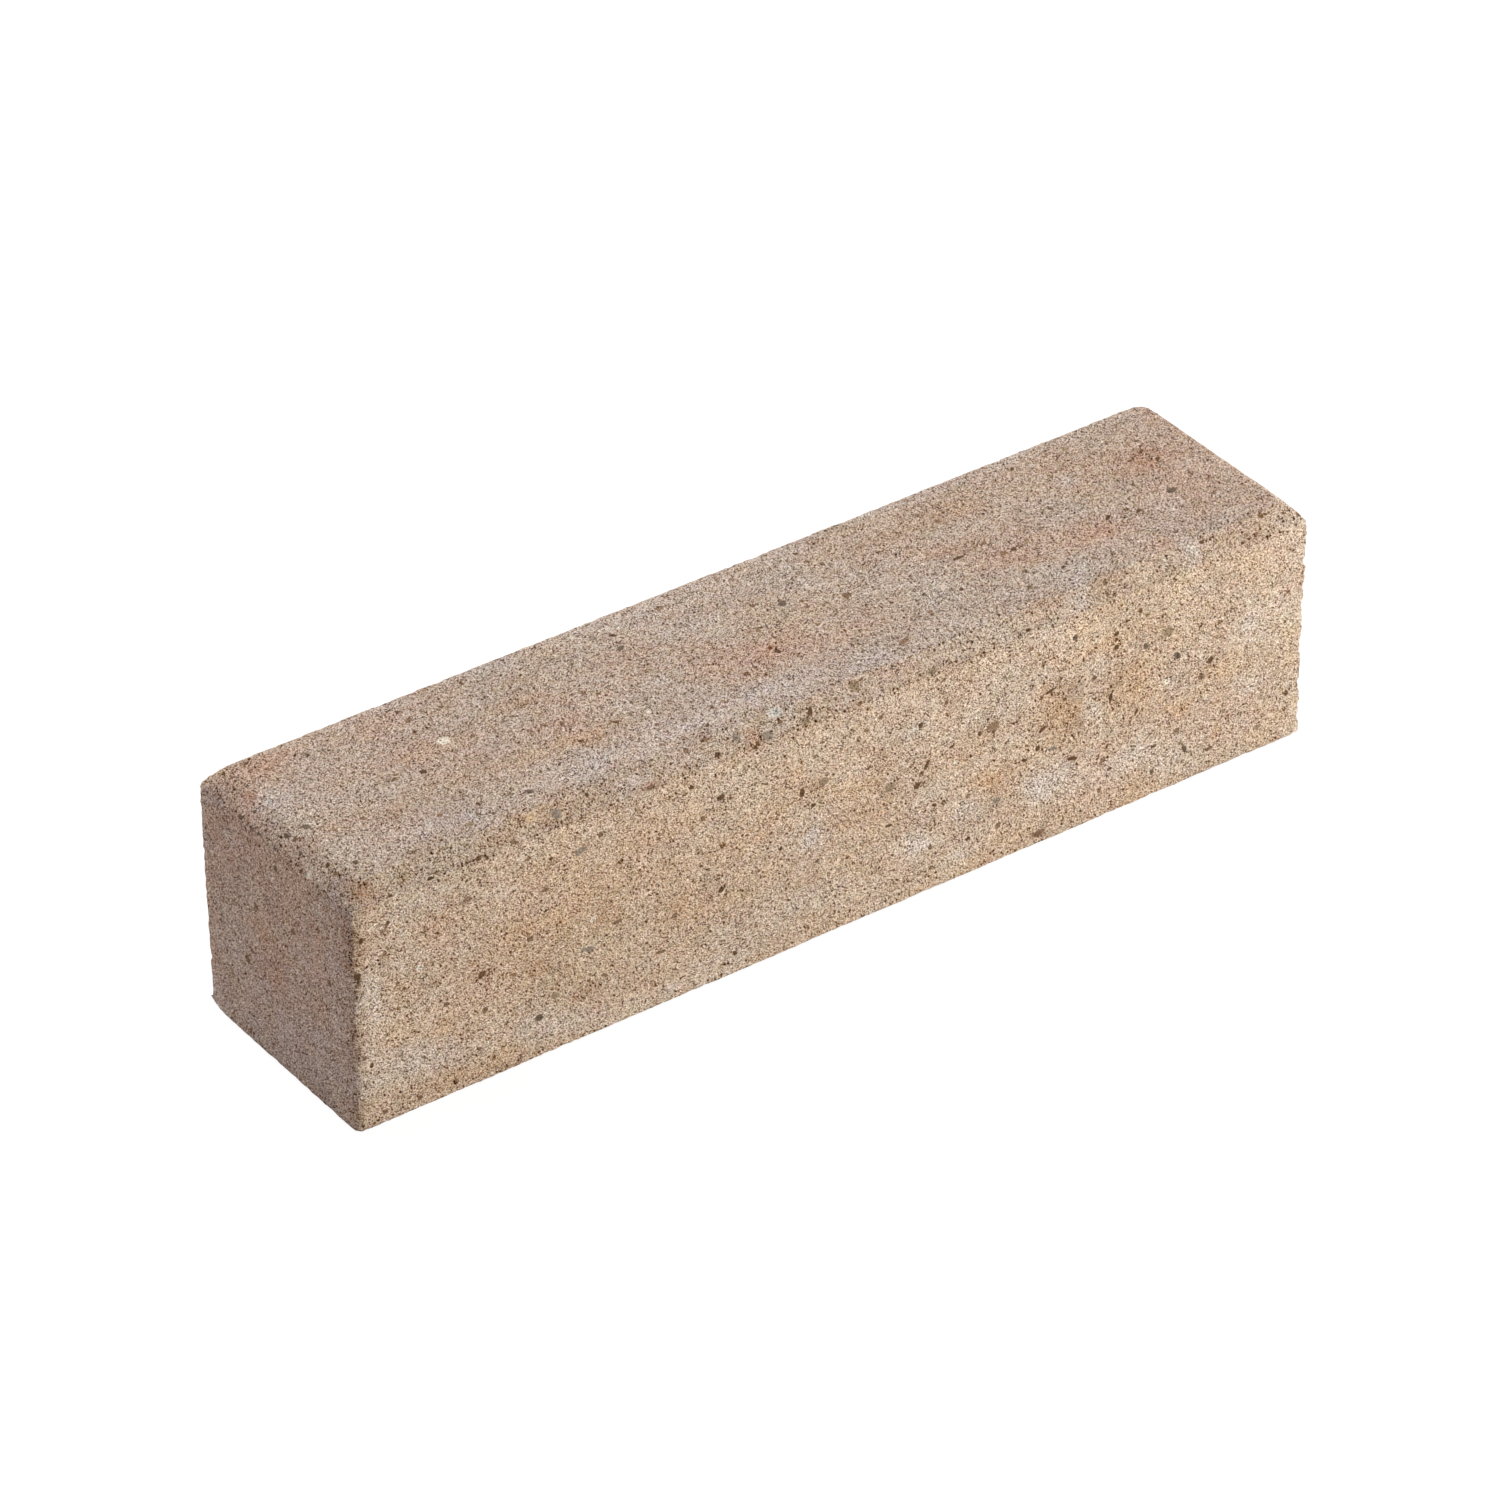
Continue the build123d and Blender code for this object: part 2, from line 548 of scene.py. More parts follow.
# Stamped face: along, across, half length, half width and strength
TOP_STAINS = {
    "bloom": [(-195, -37, 28, 8, 0.8), (-130, -37, 34, 8, 0.8), (-95, -38, 16, 7, 0.6),
        (-60, -36, 34, 8, 1), (-20, -40, 26, 9, 0.9), (28, -44, 18, 7, 0.9), (68, -43, 16, 7, 0.55),
        (92, -34, 14, 6, 0.3), (134, -40, 12, 7, 0.3), (151, -3, 12, 4, 0.35), (202, -24, 5, 4, 0.8),
        (-228, 8, 14, 10, 0.5), (-159, -17, 4, 3, 0.9), (-199, -37, 5, 4, 0.8), (70, -24, 8, 7, 0.25),
        (80, 52, 170, 5, 0.5), (-120, 50, 60, 4, 0.35), (190, -9, 10, 7, 0.25), (5, 40, 30, 10, 0.3),
        (-40, 32, 30, 12, 0.25)],
    "lime": [(188, -44, 5, 11, 0.45), (175, 20, 5, 3.5, 0.6), (-237, 21, 7, 6, 0.5), (-58, -3, 6, 3, 0.7),
        (-126, 3, 5, 4, 0.4)],
    "rust": [(-228, 42, 20, 7, 0.55), (-243, 29, 6, 4, 0.9), (-175, 38, 20, 8, 0.4),
        (-170, 12, 22, 9, 0.35), (-108, -4, 14, 9, 0.5), (-11, -11, 18, 9, 1), (20, -20, 18, 7, 0.4),
        (115, -14, 18, 8, 0.5), (160, -22, 14, 9, 0.7), (214, 12, 14, 8, 0.7), (232, -44, 11, 6, 0.3),
        (95, 8, 10, 4, 0.6), (238, 40, 6, 12, 0.5), (216, -6, 22, 22, 0.5), (179, -44, 8, 5, 0.7)],
    "umber": [(212, 14, 24, 16, 0.5), (106, 2, 15, 4, 1.1), (108, 27, 6, 5, 0.7), (65, 14, 6, 6, 0.5),
        (42, -39, 5, 3, 0.9)],
    "ochre": [(185, 8, 60, 14, 0.2), (-118, -18, 36, 6, 0.6), (-200, -13, 28, 7, 0.45),
        (25, 3, 26, 10, 0.4), (-120, 18, 14, 8, 0.3), (108, 28, 24, 8, 0.35), (5, 18, 20, 8, 0.35),
        (130, 32, 46, 12, 0.4)],
}
# Near chamfer: along, down its slope, half length, half way down and strength
CHAMFER_STAINS = {
    "ochre": [(-241, 5, 5, 7, 0.4), (-158, 3, 9, 4, 0.35)],
    "rust": [(-240, 5, 4, 7, 0.8), (-102, 9.5, 5, 2.5, 1), (-48, 9, 6, 4, 0.9)],
    "umber": [(-102, 9.5, 4, 2, 0.7), (140, 5, 4, 5, 0.5), (45, 10, 4, 2, 0.7), (-152, 8.5, 4, 3, 0.6),
        (-225, 6, 10, 4, 0.3)],
    "bloom": [(-76, 7, 6, 5, 0.7), (133, -5, 4, 5, 0.8)],
    "lime": [(-107, 4, 5, 4, 0.4), (127, 7, 5, 4, 0.5), (190, 3, 5, 5, 0.6)],
}
# Left end: across, up, half width, half height and strength
END_STAINS = {
    "rust": [(18, 100, 20, 14, 0.45), (40, 88, 12, 14, 0.3), (-30, 70, 14, 12, 0.45), (0, 84, 12, 8, 0.3),
        (4, 46, 12, 12, 0.45), (-24, 50, 12, 10, 0.35)],
    "lime": [(36, 97, 4, 2.5, 0.6), (1, 95, 6, 4, 0.3)],
    "ochre": [(-15, 104, 24, 8, 0.4), (10, 64, 14, 8, 0.5), (-20, 88, 20, 9, 0.3)],
    "bloom": [(-10, 12, 50, 16, 0.5), (-30, 26, 22, 10, 0.35)],
    "umber": [(26, 40, 5, 4, 0.5), (-54, 92, 7, 15, 0.9), (-55, 45, 6, 40, 0.5)],
}
print(len(STAINS), "stain colours, dabs on the front:", sum(map(len, FRONT_STAINS.values())))

# %% [markdown]
# A row gives two numbers for a place on a face, and a spot on the skin needs three. So each face is an
# origin and two axes: along or across the block, and up it or down a chamfer's slope.

# %% Name the faces
FRONT_WALL = ((0, low[1], 0), (1, 0, 0), (0, 0, 1))
STAMPED_FACE = ((0, 0, high[2]), (1, 0, 0), (0, 1, 0))
NEAR_CHAMFER = ((0, low[1] + CHAMFER, high[2]), (1, 0, 0), (0, -SLANT, -SLANT))
LEFT_END = ((low[0], 0, 0), (0, 1, 0), (0, 0, 1))
LEFT_CHAMFER = ((low[0] + CHAMFER, 0, high[2]), (0, 1, 0), (-SLANT, 0, -SLANT))
SPOT_THICKNESS = 7


def face_spot(face, first, second, half_first=1, half_second=1):
    """Centre of a spot: the face's origin plus two distances along its axes, in millimetres. Half sizes of
    the spot: its own ones along the axes and SPOT_THICKNESS across them."""
    origin, first_axis, second_axis = np.array(face)
    centre = origin + (first * first_axis + second * second_axis) * MM
    half_sizes = np.where(first_axis, half_first, np.where(second_axis, half_second, SPOT_THICKNESS))
    return centre, half_sizes * MM


print("5 mm down the near chamfer is", face_spot(NEAR_CHAMFER, 0, 5)[0].round(4))

# %% [markdown]
# ## Tint of the concrete
#
# Each point of the skin gets one colour: a ground colour for its face, the stains, and clouds of the same
# colours, drawn out along the post, less painted shade in the torn seam, in the hollows and along the
# arrises. The ends' ground colour is darker and rosier than the walls', fully on the shaded left end and by
# half on the lit right end: partly the ends' own colour and partly painted shade. A real stain has a frayed
# rim, so the points are pushed about by noise before the stains are measured. A colour attribute keeps the
# result, because it follows the block and not a repeating pattern.

# %% Mix the tints
WANDER = 5 * MM
WANDER_CELL_MM = 13
WANDER_SEEDS = (101, 111, 121)
CLOUD_STRETCH = np.array((1.6, 1.0, 1.0))
# Clouds over all faces: colour, cell size (mm), seed and strength
CLOUDS = (("cream", 14, 61, 0.75), ("rust", 17, 71, 0.35), ("ochre", 11, 81, 0.45), ("umber", 9, 91, 0.4))
CHAMFER_PINK = 0.35
SEAM_SHADE, HOLLOW_SHADE, ARRIS_SHADE = 7, 20, 3


def stain_cover(points, faces):
    """Cover of each stain colour: one minus the product of what each of its dabs leaves bare."""
    bare = {name: np.ones(len(points)) for name in STAINS}
    for face, dabs_by_colour in faces:
        for name, dabs in dabs_by_colour.items():
            for *place, strength in dabs:
                bare[name] *= 1 - np.minimum(strength * soft_spot(points, *face_spot(face, *place)), 1)
    return {name: 1 - left for name, left in bare.items()}


def mixed_tint():
    """Ground colour of the face, plus each stain times its cover, plus the clouds, less painted shade in the
    torn seam, in the hollows and along the arrises. The ends' ground colour is partly painted shade."""
    wander = np.stack([cloud_noise(smooth_skin, WANDER_CELL_MM, seed, 4) for seed in WANDER_SEEDS], axis=1)
    covers = stain_cover(smooth_skin + WANDER * wander,
                         ((FRONT_WALL, FRONT_STAINS), (STAMPED_FACE, TOP_STAINS),
                          (NEAR_CHAMFER, CHAMFER_STAINS), (LEFT_END, END_STAINS)))
    # Painted shade: the ends get a darker, rosier ground colour, most of all the shaded left end.
    tint = WALL_TAN + on_end_with_left_shade[:, None] * (END_ROSE_AND_SHADE - WALL_TAN)
    tint = tint + np.maximum(on_top, CHAMFER_PINK * on_chamfer)[:, None] * (STAMPED_PINK - tint)
    tint = tint + on_end_chamfer[:, None] * END_CHAMFER_LIFT
    for name, cover in covers.items():
        tint = tint + cover[:, None] * np.array(STAINS[name])
    for name, cell_mm, seed, strength in CLOUDS:
        cloud = cloud_noise(smooth_skin / CLOUD_STRETCH, cell_mm, seed, 4)
        tint = tint + strength * cloud[:, None] * np.array(STAINS[name])
    shade = SEAM_SHADE * torn_seam + HOLLOW_SHADE * hollows + ARRIS_SHADE * near_edge * above_foot
    return tint - shade[:, None]


tint = mixed_tint()
print("tint from", tint.min(axis=0).round(), "to", tint.max(axis=0).round())

# %% [markdown]
# ## Stones and holes
#
# Here and there a larger stone or a hole shows in the sand. Each is one row again, and its kind gives a
# colour and how far it rises or sinks. A hole's colour is the painted shade inside it, and it also sinks in
# the bump. Small meshes would do too, but these lie flush in the skin. The faces that the photograph doesn't
# show get stones at random places, from a fixed seed.

# %% Set the stones
STONES = {
    # A hole's dark colour is painted shade, the shade inside a pit. A dim hole is a shallower pit with
    # lighter painted shade.
    "hole": (94, 69, 47, -0.7),
    "dim_hole": (126, 99, 76, -0.4),
    # Dark slate is the colour of dark stones, and on the left end's chamfer also the painted shade of small
    # pits.
    "dark_slate": (101, 86, 72, 0.0),
    "slate": (141, 126, 110, 0.1),
    "pale_slate": (188, 180, 169, 0.1),
    "olive": (142, 122, 97, 0.1),
    "umber": (134, 107, 85, 0.1),
    "quartz": (209, 198, 181, 0.1),
    "rose": (194, 176, 163, 0.1),
    "ochre": (206, 176, 142, 0.1),
}
# Front wall: along the post, up, half length, half height (mm) and, if it is turned, degrees
FRONT_STONES = {
    "hole": [(-187, 54.5, 2, 1.5, 20), (-66, 93.7, 1.8, 1.5), (-24, 78.7, 1.3, 2.3), (-81, 104.8, 1.2, 0.8),
        (-66, 46.5, 1.4, 1.4, 30), (-151.7, 98.3, 1.1, 0.8), (-35, 55, 0.9, 1.2), (-59, 10.8, 0.9, 1.3, 30),
        (-18, 70, 1.4, 1), (38.3, 88.2, 1.3, 1.3), (70, 71.2, 0.9, 1.2), (36.7, 57.5, 1.7, 1.2, 20),
        (21.7, 43.2, 1.8, 0.8, -15), (46.3, 43.7, 1.6, 0.8, -30), (94.7, 47.3, 1.8, 0.8, -25),
        (102, 50.5, 1.2, 1.3), (104, 59.7, 1.9, 1, 20), (108, 77.5, 2.6, 0.9, 15), (143.7, 93.3, 1.5, 1.2),
        (143.7, 86.5, 1.2, 1.4), (141.7, 60.5, 0.9, 2.2, -10), (121.3, 37.3, 2.6, 1, -15),
        (196.7, 59.2, 1.6, 1.5, 30), (190.3, 79.2, 0.9, 0.7), (41.5, 66, 1, 1.9, -25), (55, 70.5, 1.2, 0.8),
        (156, 48, 0.9, 1.6, -20), (-245, 96, 1.2, 1.3), (-247.3, 78.7, 1.7, 1.7), (-248, 68.3, 0.9, 1.2),
        (-242, 32, 1, 1.3), (-232, 99.8, 1, 1.1), (175, 109, 1.2, 0.9)],
    "dark_slate": [(-159, 20.3, 2.2, 1.6, -20), (-16, 40.3, 1, 0.8), (120.8, 100.5, 1.3, 1.3),
        (160, 80.8, 1.2, 1.8, 20), (178, 68.7, 2.3, 1.3, -45), (183.7, 17.5, 1.1, 2.3, 20),
        (165.8, 12.5, 1.2, 1.4)],
    "slate": [(-134, 44.7, 3.2, 1.2, -15), (-137, 96, 2.4, 1.8, 25), (110.5, 46.7, 2.6, 0.9, -10),
        (80, 32.5, 2, 1.4)],
    "umber": [(-193, 95, 2, 1.4), (77.8, 71.7, 3, 2.7), (138, 29.7, 1.6, 1.5), (-247, 74.8, 1.4, 1.2)],
    "olive": [(-12.5, 80, 2.6, 1.8), (-151, 28.3, 1.6, 1.3), (22.2, 62.8, 2.6, 2.2),
        (172.5, 83.3, 2.7, 2.5), (225, 12.5, 2.2, 1.2)],
    "quartz": [(-217.5, 71.2, 1.7, 1.2), (-131.7, 58.7, 1.1, 1), (57.5, 61.3, 1.4, 1), (68, 80.8, 0.9, 1.1),
        (173, 57.5, 1.8, 1.5), (230, 75, 1.3, 1)],
    "dim_hole": [(-234, 85.3, 1.2, 1.2), (-163, 62.3, 1.6, 1.2), (-155, 83.7, 1.7, 1), (-205, 47, 1.4, 1.2),
        (-90, 43.3, 1.6, 1.2, 30), (-126, 28, 2, 0.8, -30), (-97, 27.5, 2.2, 0.8, -10),
        (-119, 52.5, 2.6, 0.9), (-219, 5.3, 1.3, 1.3), (-186, 36, 1.4, 1.4), (-127, 100, 1.2, 1.4),
        (-75, 86.7, 1.2, 1.2), (113.5, 81.5, 0.8, 1.8), (165.5, 76.7, 1.5, 1), (179, 29.2, 1.6, 1.2),
        (166.7, 25.8, 1.1, 1), (103.3, 5.8, 3.5, 1.4), (81, 19, 1.3, 1.5), (191.7, 52.5, 1.6, 1.6),
        (17, 101, 1.2, 1), (132, 75, 1.3, 1), (141.7, 23.7, 1.3, 1), (198, 12, 1.8, 0.9),
        (-245.3, 37, 1.1, 1), (-236.3, 5.6, 1.4, 1.2), (-235, 96.7, 0.9, 1), (97, 104, 1.4, 0.9, 20),
        (50, 106.5, 1.6, 0.7, 15)],
}
# Stamped face: along, across, half sizes, turn
TOP_STONES = {
    "quartz": [(-156.7, 13, 3, 2.5, 10), (-75.8, -19, 1.6, 1.3), (207.5, 35.5, 1, 0.8)],
    "dark_slate": [(-57.8, 26.2, 2.2, 1.3, 30), (-236.7, -5.5, 1.5, 1.9, 30), (-148.7, -38.7, 1.6, 1.3),
        (17.5, 13.8, 1.9, 2.2, -20), (207.5, -13.3, 2.4, 1.8)],
    "hole": [(-55, 36.3, 1.3, 1, -30), (-176.2, -0.8, 1.6, 1.2, -30), (-170.8, -33.3, 0.9, 1.3),
        (-61.7, -42, 1.2, 0.8, 45), (-5.5, -14.5, 1.2, 1.8), (-127, 44, 0.9, 1.4), (-232, 47, 1.4, 0.9, 20),
        (99.7, -1.7, 2.8, 1), (123.3, -10, 1.5, 1.2, 30), (161.7, 40.8, 1.2, 0.9, 45),
        (171.7, -14.2, 2, 0.9, 40), (216.7, 19.5, 1.2, 0.8, 30), (218.7, 10.5, 1.6, 1, 40),
        (131.7, -34, 1.4, 0.8, 40), (186, -17.5, 1.7, 0.9, 40), (86, -22, 1.2, 0.9, 40)],
    "slate": [(-63, 39.2, 2, 1.7)],
    "olive": [(-181.7, -43.3, 1.9, 1.3), (131, -8.8, 1.5, 1), (190.8, 40.5, 1.8, 1)],
    "umber": [(-160, 33.7, 2, 1.3, 30), (-26.7, 41.7, 2, 1.5), (42.5, -39.3, 3.4, 1.3, 20)],
    "dim_hole": [(-103, 15, 1.2, 1), (-145, 8.7, 1.3, 0.9), (-110, -6, 1, 1.5, -20), (-90, 7.5, 1, 1.2),
        (-3, 3, 1.2, 1), (-188, -31, 1.2, 1.1), (-215, -14, 1.3, 1), (43, 2.8, 1.3, 2.2, -15),
        (49.7, 28.8, 1, 1.4), (115.5, 1, 1.8, 0.9, 25), (117.5, -10, 1.2, 1.7, -20),
        (233.3, -40.8, 0.8, 1.2, -30), (119, -30, 1.2, 0.8, 40), (110, 26.5, 1.4, 1.4, 30),
        (197, 0.5, 1.6, 0.8, 40), (70, 41, 0.8, 1.6), (231, 25, 1.2, 0.9, 40), (20.5, -8, 1.2, 0.8),
        (65, -28, 1.3, 0.9, 40), (147, -36, 1.2, 0.9, 40)],
    "rose": [(80, -15.8, 2.4, 1.9)],
}
# Near chamfer and the faces beside it: along, down its slope, half sizes, turn
CHAMFER_STONES = {
    "ochre": [(-157.5, 3, 3.4, 1.8)],
    "slate": [(-145.5, 5.5, 2.4, 2.2), (-54.5, 4.6, 1.6, 2.3, 10), (-40.5, 8.6, 2.6, 2)],
    "hole": [(-186, 10.3, 2.4, 1), (-183, 11.8, 1.2, 1), (-210.5, 10.4, 1.3, 0.8), (-230, 10.8, 1.1, 0.7),
        (-66, 8.2, 1.3, 1.1), (-48, 11.6, 1.2, 1.1), (-17.4, 6.4, 0.9, 2.4, -25), (194, 2.6, 1.2, 0.9),
        (96, 9.3, 1.1, 0.8), (172, 14.2, 1.2, 0.9), (-129.5, 3, 1, 0.8)],
    "dim_hole": [(-169, 9.8, 1.6, 0.8, -20), (-163, 2.7, 0.9, 0.8), (-101, 10.2, 2.2, 0.9),
        (-68.5, 0.3, 2, 1), (11.5, 2.4, 0.6, 1.8, -25), (141, 3, 1.2, 1.4), (139.5, 8, 1, 1.2),
        (-20, -4, 1, 1.2), (15.5, -5, 0.8, 2.6, -40)],
    "rose": [(-107, 4.5, 2.6, 2.2, 20)],
    "pale_slate": [(-32.5, 0.6, 3.6, 2.6)],
    "olive": [(-20.5, 9.2, 2.6, 1.6, 20), (8, 3.2, 3.2, 2.8), (45, 10.2, 2.2, 1.2)],
}
# Left end: across, up, half sizes, turn
END_STONES = {
    "dim_hole": [(23.5, 41.5, 2.2, 1.7, 20), (-13.5, 77, 1.4, 1.2), (-39.5, 66.5, 1.6, 1.3),
        (14.5, 73.5, 1.8, 1, 30), (19.5, 48, 1.2, 0.9), (-56.8, 97.6, 1.2, 1.6), (-56.6, 90.8, 1.2, 1.8),
        (-2, 102, 1.4, 1.2), (23.4, 4.5, 0.9, 1.6), (-26, 27, 1.2, 1.2)],
    "rose": [(36.5, 97.5, 2, 1.4)],
    "hole": [(-56.4, 52.8, 0.9, 1.2)],
}
# Chamfer of the left end: across, down its slope, half sizes, turn
END_CHAMFER_STONES = {
    # The dark slate spots here are small pits, painted dark grey as their shade.
    "dark_slate": [(-2.5, 4, 1.6, 0.9), (11, 11, 1.4, 0.7), (-3, 11.5, 0.9, 0.7), (-33, 11.6, 1, 0.6),
        (-15.2, 6, 0.8, 1), (-47.2, 7.8, 1.1, 0.9), (25, 10.5, 1.8, 0.9), (20, 5, 1, 0.7)],
    "dim_hole": [(-8, 3, 1.2, 0.8, 20), (16, 11.3, 1.1, 0.7), (-37.4, 2.8, 1, 0.8)],
    "hole": [(-12.8, 11, 0.9, 0.6), (-21, 11.4, 1.3, 1), (-31.4, 2.2, 1.2, 0.9, 30)],
    "quartz": [(-25.2, 11, 2, 1.2)],
}
HIDDEN_STONES = 110
HIDDEN_SEED = 7
HIDDEN_HALF_MM = (0.9, 2.4)
FACING = 0.99


def face_stones(face, stones_by_kind):
    """Rows of centre, two in-plane axes divided by the half sizes, and kind. A turn goes from the first
    axis towards the upper or far edge."""
    _, first_axis, second_axis = np.abs(face)
    rows = []
    for kind, stones_of_kind in stones_by_kind.items():
        for first, second, half_first, half_second, *turn in stones_of_kind:
            centre, _ = face_spot(face, first, second)
            angle = math.radians(sum(turn))
            c, s = math.cos(angle), math.sin(angle)
            rows.append((centre, (c * first_axis + s * second_axis) / (half_first * MM),
                         (c * second_axis - s * first_axis) / (half_second * MM), kind))
    return rows


def hidden_stones():
    """Seeded stones on the back, the right end and the bottom, at random points of the smooth skin."""
    rng = np.random.default_rng(HIDDEN_SEED)
    unseen = (outward[:, 1] > FACING) | (outward[:, 0] > FACING) | (outward[:, 2] < -FACING)
    picks = rng.choice(np.nonzero(unseen)[0], HIDDEN_STONES, replace=False)
    kinds = rng.choice(list(STONES), HIDDEN_STONES)
    rows = []
    for pick, kind in zip(picks, kinds):
        turn = rng.normal(size=3)
        first_axis = turn - outward[pick] * (turn @ outward[pick])
        first_axis /= np.linalg.norm(first_axis)
        second_axis = np.cross(outward[pick], first_axis)
        halves = rng.uniform(*HIDDEN_HALF_MM, 2) * MM
        rows.append((smooth_skin[pick], first_axis / halves[0], second_axis / halves[1], kind))
    return rows


stones = (face_stones(FRONT_WALL, FRONT_STONES) + face_stones(STAMPED_FACE, TOP_STONES)
          + face_stones(NEAR_CHAMFER, CHAMFER_STONES) + face_stones(LEFT_END, END_STONES)
          + face_stones(LEFT_CHAMFER, END_CHAMFER_STONES) + hidden_stones())
print(len(stones), "stones of", len(STONES), "kinds")

# %% [markdown]
# A stone is smaller than the mesh can draw, so each vertex only stores its offset from the nearest stone,
# in the stone's half sizes, and the material draws the outline where that offset is one long. Linear
# blending keeps such offsets exact between vertices, so the outline is fine at any distance. Midway between
# two stones, where offsets don't agree, none is drawn.

# %% Measure the stones from the skin
STONE_REACH = 7.5 * MM
STONE_GAP = 1.5 * MM
OUT_OF_REACH = 9.0


def nearest_stone(points):
    """Offset of each point from its nearest stone in half sizes, that stone's number, and whether it is
    surely nearest: within reach, and nearer than the second by a gap."""
    nearest = np.full(len(points), np.inf)
    second = nearest.copy()
    offset = np.full((len(points), 3), OUT_OF_REACH)
    owner = np.zeros(len(points), int)
    for number, (centre, first_axis, second_axis, _) in enumerate(stones):
        away = points - centre
        distance = np.linalg.norm(away, axis=1)
        closer = distance < nearest
        second = np.where(closer, nearest, np.minimum(second, distance))
        nearest = np.where(closer, distance, nearest)
        normal = np.cross(first_axis, second_axis)
        normal *= np.linalg.norm(first_axis) / np.linalg.norm(normal)
        local = np.stack([away @ first_axis, away @ second_axis, away @ normal], axis=1)
        offset[closer] = local[closer]
        owner[closer] = number
    return offset, owner, (nearest < STONE_REACH) & (second - nearest > STONE_GAP)


stone_offset, stone_owner, stone_sure = nearest_stone(smooth_skin)
stone_kind = np.array([STONES[kind] for *_, kind in stones], float)[stone_owner]
print("stones reach", int(stone_sure.sum()), "vertices")

# %% [markdown]
# ## The piece
#
# Points, faces and colours are ready as arrays, so the mesh takes them in one call each. Colours, offsets
# and wear become attributes, which the material reads by name. Wear is where the cement has gone and more
# dark specks show: along edges, on the chamfers and on the front.

# %% Make the piece
def store(piece, name, kind, values):
    """Point attribute of a kind, filled from one array."""
    layer = piece.data.attributes.new(name, kind, "POINT")
    field = {"FLOAT_COLOR": "color", "FLOAT_VECTOR": "vector", "FLOAT": "value"}[kind]
    layer.data.foreach_set(field, np.asarray(values, np.float32).ravel())


wear = 0.35 * on_chamfer + 0.4 * on_end_chamfer + 0.6 * near_edge + 0.5 * dry_front + 0.35 * on_front
mesh = bpy.data.meshes.new("post_skin")
mesh.from_pydata(skin, [], quads)
mesh.polygons.foreach_set("use_smooth", np.ones(len(quads), bool))
mesh.update()
post = bpy.data.objects.new("post_skin", mesh)
scene.collection.objects.link(post)
store(post, "tint", "FLOAT_COLOR", np.column_stack([tint / 255, np.ones(len(tint))]))
store(post, "stone_offset", "FLOAT_VECTOR", stone_offset)
store(post, "stone_paint", "FLOAT_COLOR", np.column_stack([stone_kind[:, :3] / 255, stone_sure]))
store(post, "stone_rise", "FLOAT", stone_kind[:, 3])
store(post, "wear", "FLOAT", np.clip(wear, 0, 1))
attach(post, "root")
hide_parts("palisade_post")
print("piece", post.name, "with", len(post.data.polygons), "faces")

# %% [markdown]
# ## Sand grains and pores
#
# Seen close, the skin is all sand: cream, tan and brown grains of a third of a millimetre to a millimetre,
# with dark specks and pores between them. The specks are partly dark sand and partly painted shade in the
# gaps between grains, and the dark of the pores is painted shade in pits. In a Voronoi texture every cell
# can be a grain, with a random number and a distance from its middle. The two groups take sizes in
# millimetres, so each is used twice: grains for coarse and fine sand, spots for specks and pores.

# %% Groups for sand and pores
def new_group(name, inputs, outputs):
    """Empty shader node group with named sockets, its input sockets and its output sockets."""
    group = bpy.data.node_groups.new(name, "ShaderNodeTree")
    for side, sockets in (("INPUT", inputs), ("OUTPUT", outputs)):
        for socket, kind in sockets.items():
            group.interface.new_socket(socket, in_out=side, socket_type="NodeSocket" + kind)
    return group, group.nodes.new("NodeGroupInput").outputs, group.nodes.new("NodeGroupOutput").inputs


def crooked_cells(group, point, size, warp_scale, warp_amount):
    """Distance from the cell's middle and the cell's random number, in a Voronoi texture of this cell size
    whose point is first pushed about by noise, so that cells get crooked outlines."""
    push = scaled_vector(group, centred_noise(group, point, warp_scale), warp_amount)
    crooked = vector_node(group, "ADD", point, push)
    per_size = math_node(group, "DIVIDE", 1.0, size)
    cells = add_node(group, "ShaderNodeTexVoronoi", {"Vector": crooked, "Scale": per_size})
    pick = add_node(group, "ShaderNodeSeparateColor", {"Color": cells.outputs["Color"]}).outputs[0]
    return cells.outputs["Distance"], pick


def sand_grain_group():
    """Tone of each grain from its random number p: 0.18, less (1 - p)^4, which makes a few grains dark,
    plus a fifth of p^9, which makes a few light. Dome is 1 at a grain's middle and 0 beside it."""
    group, given, result = new_group("sand_grains", {"Point": "Vector", "Size": "Float"},
                                     {"Tone": "Float", "Dome": "Float"})
    distance, pick = crooked_cells(group, given["Point"], given["Size"],
                                   math_node(group, "DIVIDE", 1.3, given["Size"]),
                                   math_node(group, "MULTIPLY", given["Size"], 0.9))
    dark = math_node(group, "POWER", math_node(group, "SUBTRACT", 1.0, pick), 4.0)
    light = math_node(group, "POWER", pick, 9.0)
    group.links.new(weighted_sum(group, ((dark, -1.0), (light, 0.2)), 0.18), result["Tone"])
    group.links.new(ramp(group, distance, 0.75, 0.1), result["Dome"])
    return group


def pore_group():
    """Mask of scattered spots: one round each cell's middle, as wide as Radius times p^Rarity, where p is
    the cell's random number. So a higher Rarity leaves fewer large ones."""
    inputs = {"Point": "Vector", "Spacing": "Float", "Radius": "Float", "Rarity": "Float"}
    group, given, result = new_group("pits_with_painted_shade", inputs, {"Mask": "Float"})
    distance, pick = crooked_cells(group, given["Point"], given["Spacing"],
                                   math_node(group, "DIVIDE", 0.9, given["Radius"]),
                                   math_node(group, "MULTIPLY", given["Radius"], 1.3))
    widest = math_node(group, "DIVIDE", given["Radius"], given["Spacing"])
    reach = math_node(group, "MULTIPLY", math_node(group, "POWER", pick, given["Rarity"]), widest)
    inside = math_node(group, "SUBTRACT", reach, distance)
    group.links.new(ramp(group, inside, -0.02, 0.12), result["Mask"])
    return group


